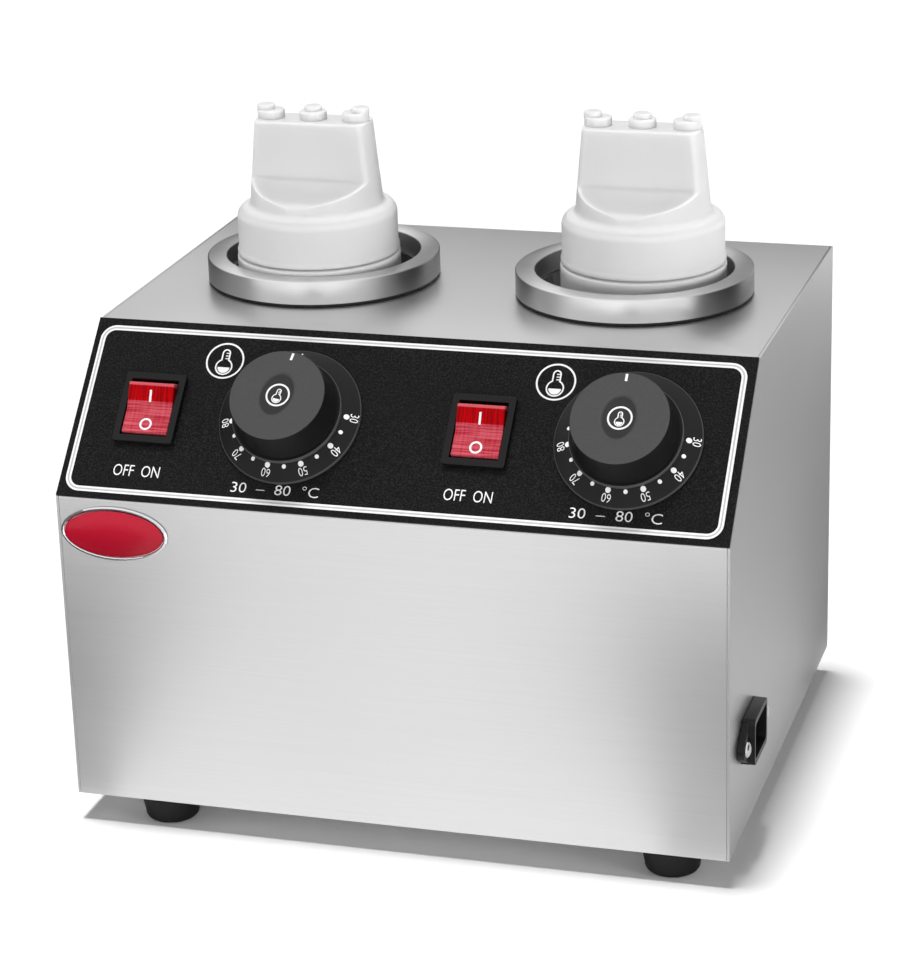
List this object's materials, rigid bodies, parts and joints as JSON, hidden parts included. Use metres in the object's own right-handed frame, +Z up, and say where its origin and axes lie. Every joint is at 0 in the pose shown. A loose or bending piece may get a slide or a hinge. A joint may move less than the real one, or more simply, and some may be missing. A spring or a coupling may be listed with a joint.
{
  "type": "topping warmer",
  "caption": "Countertop warmer for squeeze bottles of topping: stainless case, sloped control panel, heated wells, rocker switches, dials, screw caps with nozzles",
  "frame": {"origin": "middle of the whole object's footprint, on the surface that the feet stand on", "axes": "+Z up; -Y is the front, with the sloped panel; +X is the right side, with the mains inlet"},
  "size_m": [0.3058, 0.2418, 0.3008],
  "materials": {
    "case_steel": "satin stainless sheet, brushed across the front",
    "collar_steel": "turned stainless, finer and brighter than the case",
    "fastener_steel": "bright zinc-plated steel",
    "fascia_print": "black printed film on a thin sheet",
    "control_plastic": "black moulded plastic with a soft sheen",
    "rocker_plastic": "translucent red",
    "inlet_plastic": "black moulded plastic",
    "inlet_blades": "nickel-plated brass",
    "foot_rubber": "black",
    "gasket_rubber": "black silicone sheet",
    "badge_rim": "polished",
    "badge_inlay": "deep red dome, left blank",
    "bottle_plastic": "natural translucent polyethylene",
    "cap_plastic": "natural translucent polyethylene, whiter than the bottle",
    "liner_foam": "white foam sheet",
    "heater_mica": "mica in a steel jacket",
    "insulation_felt": "off-white ceramic felt",
    "thermostat_plastic": "pale heat-resistant moulding",
    "capillary_copper": "drawn copper",
    "lead_silicone": "red silicone insulation"
  },
  "bodies": {
    "housing": {"wrapper_sheet": "case_steel", "left_side_panel": "case_steel", "right_side_panel": "case_steel", "base_pan": "case_steel", "left_well_cup": "case_steel", "right_well_cup": "case_steel", "left_collar_ring": "collar_steel", "right_collar_ring": "collar_steel", "left_clamp_screw": "fastener_steel", "right_clamp_screw": "fastener_steel", "inlet_screw_front": "fastener_steel", "inlet_screw_rear": "fastener_steel", "foot_screw_front_left": "fastener_steel", "foot_screw_front_right": "fastener_steel", "foot_screw_rear_left": "fastener_steel", "foot_screw_rear_right": "fastener_steel", "control_fascia": "fascia_print", "left_dial_bezel": "control_plastic", "right_dial_bezel": "control_plastic", "left_switch_housing": "control_plastic", "right_switch_housing": "control_plastic", "inlet_socket": "inlet_plastic", "inlet_pin_live": "inlet_blades", "inlet_pin_neutral": "inlet_blades", "inlet_pin_earth": "inlet_blades", "foot_front_left": "foot_rubber", "foot_front_right": "foot_rubber", "foot_rear_left": "foot_rubber", "foot_rear_right": "foot_rubber", "left_collar_gasket": "gasket_rubber", "right_collar_gasket": "gasket_rubber", "badge_rim": "badge_rim", "badge_inlay": "badge_inlay", "left_heater_band": "heater_mica", "right_heater_band": "heater_mica", "left_insulation_sleeve": "insulation_felt", "right_insulation_sleeve": "insulation_felt", "left_thermostat_body": "thermostat_plastic", "right_thermostat_body": "thermostat_plastic", "left_thermostat_sensor": "capillary_copper", "right_thermostat_sensor": "capillary_copper", "left_supply_lead": "lead_silicone", "right_supply_lead": "lead_silicone", "left_switch_lead": "lead_silicone", "right_switch_lead": "lead_silicone", "left_heater_lead": "lead_silicone", "right_heater_lead": "lead_silicone"},
    "left_rocker": {"left_switch_rocker": "rocker_plastic"},
    "left_knob": {"left_control_knob": "control_plastic", "left_thermostat_shaft": "fastener_steel"},
    "left_bottle": {"left_bottle": "bottle_plastic"},
    "left_liner": {"left_cap_liner": "liner_foam"},
    "left_cap": {"left_cap": "cap_plastic"},
    "right_rocker": {"right_switch_rocker": "rocker_plastic"},
    "right_knob": {"right_control_knob": "control_plastic", "right_thermostat_shaft": "fastener_steel"},
    "right_bottle": {"right_bottle": "bottle_plastic"},
    "right_liner": {"right_cap_liner": "liner_foam"},
    "right_cap": {"right_cap": "cap_plastic"}
  },
  "joints": [
    {"name": "left_switch", "type": "hinge", "parent": "housing", "child": "left_rocker", "pos_m": [-0.118, -0.08802, 0.18743], "axis": [1, 0, 0], "range_deg": [-20, 0]},
    {"name": "left_dial", "type": "hinge", "parent": "housing", "child": "left_knob", "pos_m": [-0.0532, -0.09188, 0.19235], "axis": [0, -0.7127, 0.7014], "range_deg": [-263.5, 9.5]},
    {"name": "left_bottle_lift", "type": "slide", "parent": "housing", "child": "left_bottle", "axis": [0, 0, 1], "range_m": [0, 0.19]},
    {"name": "left_cap_rise", "type": "slide", "parent": "left_bottle", "child": "left_liner", "axis": [0, 0, 1], "range_m": [0, 0.008]},
    {"name": "left_cap_turn", "type": "hinge", "parent": "left_liner", "child": "left_cap", "pos_m": [-0.0759, 0.0228, 0.2334], "axis": [0, 0, 1], "range_deg": [0, 720]},
    {"name": "right_switch", "type": "hinge", "parent": "housing", "child": "right_rocker", "pos_m": [0.0325, -0.08802, 0.18743], "axis": [1, 0, 0], "range_deg": [-20, 0]},
    {"name": "right_dial", "type": "hinge", "parent": "housing", "child": "right_knob", "pos_m": [0.0973, -0.09188, 0.19235], "axis": [0, -0.7127, 0.7014], "range_deg": [-273, 0]},
    {"name": "right_bottle_lift", "type": "slide", "parent": "housing", "child": "right_bottle", "axis": [0, 0, 1], "range_m": [0, 0.19]},
    {"name": "right_cap_rise", "type": "slide", "parent": "right_bottle", "child": "right_liner", "axis": [0, 0, 1], "range_m": [0, 0.008]},
    {"name": "right_cap_turn", "type": "hinge", "parent": "right_liner", "child": "right_cap", "pos_m": [0.0757, 0.0331, 0.2334], "axis": [0, 0, 1], "range_deg": [0, 720]}
  ],
  "couplings": [
    {"joint": "left_cap_rise", "follows": "left_cap_turn", "m_per_rad": 0.00063662},
    {"joint": "right_cap_rise", "follows": "right_cap_turn", "m_per_rad": 0.00063662}
  ]
}
